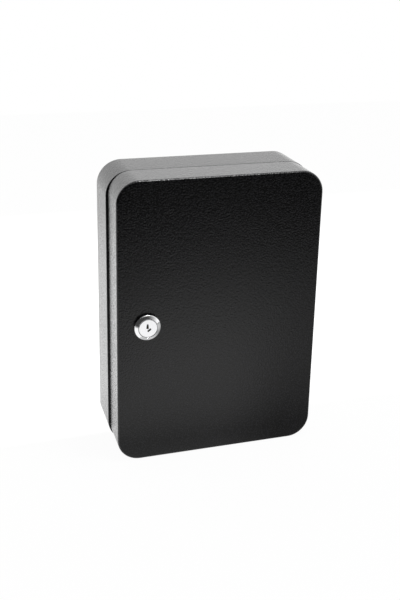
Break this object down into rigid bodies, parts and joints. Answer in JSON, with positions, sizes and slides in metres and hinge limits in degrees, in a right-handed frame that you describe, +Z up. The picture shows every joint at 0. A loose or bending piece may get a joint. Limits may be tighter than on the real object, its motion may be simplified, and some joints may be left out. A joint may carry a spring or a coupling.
{
  "type": "wall key cabinet",
  "caption": "Black textured steel wall key cabinet with rounded corners, a side-hinged door, a chrome cam lock and rows of hooks on rails inside the casing and the door.",
  "frame": {"origin": "underside of the casing, at mid width and at the middle of the closed depth", "axes": "+Z up, the door faces -Y, the hinge is on the +X side"},
  "size_m": [0.1824, 0.08, 0.25],
  "materials": {
    "black_paint": "fine textured satin powder coat",
    "zinc_plate": "bright zinc plate",
    "spring_steel": "plain steel",
    "chrome": "bright chrome on zinc casting",
    "brass": "stamped brass"
  },
  "bodies": {
    "casing": {"rear_casing": "black_paint", "hinge_casing_leaf": "zinc_plate", "hinge_pin": "spring_steel", "casing_key_rail_1": "zinc_plate", "casing_key_rail_2": "zinc_plate", "casing_key_rail_3": "zinc_plate", "casing_key_rail_4": "zinc_plate", "casing_rail_screw_1": "zinc_plate", "casing_rail_screw_2": "zinc_plate", "casing_rail_screw_3": "zinc_plate", "casing_rail_screw_4": "zinc_plate", "casing_rail_screw_5": "zinc_plate", "casing_rail_screw_6": "zinc_plate", "casing_rail_screw_7": "zinc_plate", "casing_rail_screw_8": "zinc_plate"},
    "door": {"door_shell": "black_paint", "hinge_door_leaf": "zinc_plate", "door_key_rail_1": "zinc_plate", "door_key_rail_2": "zinc_plate", "door_key_rail_3": "zinc_plate", "door_key_rail_4": "zinc_plate", "door_rail_screw_1": "zinc_plate", "door_rail_screw_2": "zinc_plate", "door_rail_screw_3": "zinc_plate", "door_rail_screw_4": "zinc_plate", "door_rail_screw_5": "zinc_plate", "door_rail_screw_6": "zinc_plate", "door_rail_screw_7": "zinc_plate", "door_rail_screw_8": "zinc_plate", "lock_housing": "chrome", "lock_toothed_washer": "zinc_plate", "lock_nut": "zinc_plate"},
    "lock_core": {"lock_plug": "chrome", "lock_stop_plate": "zinc_plate", "lock_cam": "zinc_plate", "cam_spring_washer": "spring_steel", "cam_screw": "zinc_plate", "wafer_spring_1": "spring_steel", "wafer_spring_2": "spring_steel", "wafer_spring_3": "spring_steel", "wafer_spring_4": "spring_steel", "wafer_spring_5": "spring_steel"},
    "wafer_1": {"lock_wafer_1": "brass"},
    "wafer_2": {"lock_wafer_2": "brass"},
    "wafer_3": {"lock_wafer_3": "brass"},
    "wafer_4": {"lock_wafer_4": "brass"},
    "wafer_5": {"lock_wafer_5": "brass"}
  },
  "joints": [
    {"name": "door_hinge", "type": "hinge", "parent": "casing", "child": "door", "pos_m": [0.09, -0.00225, 0.125], "axis": [0, 0, 1], "range_deg": [0, 175]},
    {"name": "lock_turn", "type": "hinge", "parent": "door", "child": "lock_core", "pos_m": [-0.0633, -0.0398, 0.125], "axis": [0, 1, 0], "range_deg": [0, 90]},
    {"name": "wafer_1_slide", "type": "slide", "parent": "lock_core", "child": "wafer_1", "axis": [0, 0, 1], "range_m": [-0.0008, 0], "deforming": ["wafer_spring_1"]},
    {"name": "wafer_2_slide", "type": "slide", "parent": "lock_core", "child": "wafer_2", "axis": [0, 0, 1], "range_m": [-0.0008, 0], "deforming": ["wafer_spring_2"]},
    {"name": "wafer_3_slide", "type": "slide", "parent": "lock_core", "child": "wafer_3", "axis": [0, 0, 1], "range_m": [-0.0008, 0], "deforming": ["wafer_spring_3"]},
    {"name": "wafer_4_slide", "type": "slide", "parent": "lock_core", "child": "wafer_4", "axis": [0, 0, 1], "range_m": [-0.0008, 0], "deforming": ["wafer_spring_4"]},
    {"name": "wafer_5_slide", "type": "slide", "parent": "lock_core", "child": "wafer_5", "axis": [0, 0, 1], "range_m": [-0.0008, 0], "deforming": ["wafer_spring_5"]}
  ],
  "couplings": [
    {"joint": "wafer_2_slide", "follows": "wafer_1_slide", "ratio": 1},
    {"joint": "wafer_3_slide", "follows": "wafer_1_slide", "ratio": 1},
    {"joint": "wafer_4_slide", "follows": "wafer_1_slide", "ratio": 1},
    {"joint": "wafer_5_slide", "follows": "wafer_1_slide", "ratio": 1}
  ]
}
